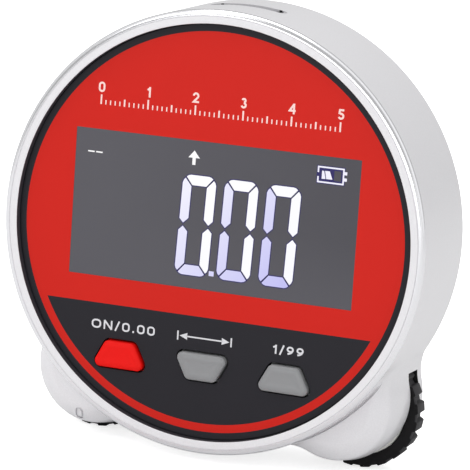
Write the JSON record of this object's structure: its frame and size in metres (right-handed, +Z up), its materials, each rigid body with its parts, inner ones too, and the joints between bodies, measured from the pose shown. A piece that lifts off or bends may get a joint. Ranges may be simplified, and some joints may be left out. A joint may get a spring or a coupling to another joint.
{
  "type": "digital rolling ruler",
  "caption": "Round hand-held distance gauge with a display and buttons on its face, a toothed rubber measuring wheel and a support wheel below, and a sliding battery lid.",
  "frame": {"origin": "on the floor under the middle of the box round the whole object", "axes": "+Z up, the face looks towards -Y, +X to the right of someone who reads the face"},
  "size_m": [0.08, 0.028, 0.0815],
  "materials": {
    "silver_paint": "fine satin silver-white paint on a moulded case",
    "cover_plastic": "light grey moulded plastic, fine texture",
    "label_film": "printed film, red with a dark grey field, satin gloss",
    "clear_window": "clear hard window over the display",
    "display_glass": "display cell",
    "light_guide": "white light guide",
    "board_resin": "green circuit board",
    "red_rubber": "soft red silicone rubber",
    "grey_rubber": "soft grey silicone rubber",
    "tyre_rubber": "black rubber, dull",
    "contact_rubber": "striped contact rubber",
    "black_plastic": "black moulded plastic",
    "white_plastic": "natural white gear plastic",
    "bright_steel": "turned steel",
    "nickel": "nickel plated steel",
    "cell_jacket": "plain printed battery jacket"
  },
  "bodies": {
    "case": {"front_housing": "silver_paint", "rear_cover": "cover_plastic", "face_label": "label_film", "display_window": "clear_window", "display_glass": "display_glass", "backlight_panel": "light_guide", "display_contact_strip": "contact_rubber", "main_board": "board_resin", "sensor_board": "board_resin", "controller_chip": "black_plastic", "slot_sensor": "black_plastic", "clock_crystal": "nickel", "battery_spring_upper": "nickel", "battery_spring_lower": "nickel", "contact_upper_left": "nickel", "contact_lower_left": "nickel", "contact_bridge_right": "nickel", "board_screw_1": "bright_steel", "board_screw_2": "bright_steel", "board_screw_3": "bright_steel", "board_screw_4": "bright_steel", "cover_screw_1": "bright_steel", "cover_screw_2": "bright_steel", "cover_screw_3": "bright_steel", "cover_screw_4": "bright_steel", "sensor_screw": "bright_steel", "measuring_axle": "bright_steel", "support_axle": "bright_steel", "encoder_pin": "bright_steel", "switch_base_left": "black_plastic", "switch_base_middle": "black_plastic", "switch_base_right": "black_plastic", "battery_upper": "cell_jacket", "battery_lower": "cell_jacket"},
    "measuring_wheel": {"measuring_hub": "white_plastic", "measuring_tyre": "tyre_rubber"},
    "support_wheel": {"support_hub": "white_plastic", "support_tyre": "tyre_rubber"},
    "encoder": {"encoder_pinion": "white_plastic", "encoder_disc": "black_plastic"},
    "left_button": {"button_left": "red_rubber", "switch_plunger_left": "white_plastic"},
    "middle_button": {"button_middle": "grey_rubber", "switch_plunger_middle": "white_plastic"},
    "right_button": {"button_right": "grey_rubber", "switch_plunger_right": "white_plastic"},
    "lid": {"battery_lid": "cover_plastic"}
  },
  "joints": [
    {"name": "measuring_wheel_spin", "type": "hinge", "parent": "case", "child": "measuring_wheel", "pos_m": [-0.02565, 0.00318, 0.01066], "axis": [0, 1, 0], "continuous": true},
    {"name": "support_wheel_spin", "type": "hinge", "parent": "case", "child": "support_wheel", "pos_m": [0.02565, 0.00318, 0.01066], "axis": [0, 1, 0], "continuous": true},
    {"name": "encoder_spin", "type": "hinge", "parent": "case", "child": "encoder", "pos_m": [-0.02105, 0.00778, 0.0162], "axis": [0, 1, 0], "continuous": true},
    {"name": "left_button_press", "type": "slide", "parent": "case", "child": "left_button", "axis": [0, 1, 0], "range_m": [0, 0.0004], "stiffness_N_per_m": 1500, "springref_m": -0.0003},
    {"name": "middle_button_press", "type": "slide", "parent": "case", "child": "middle_button", "axis": [0, 1, 0], "range_m": [0, 0.0004], "stiffness_N_per_m": 1500, "springref_m": -0.0003},
    {"name": "right_button_press", "type": "slide", "parent": "case", "child": "right_button", "axis": [0, 1, 0], "range_m": [0, 0.0004], "stiffness_N_per_m": 1500, "springref_m": -0.0003},
    {"name": "battery_lid_slide", "type": "slide", "parent": "case", "child": "lid", "axis": [0, 0, 1], "range_m": [0, 0.032]}
  ],
  "couplings": [
    {"joint": "encoder_spin", "follows": "measuring_wheel_spin", "ratio": -2}
  ]
}
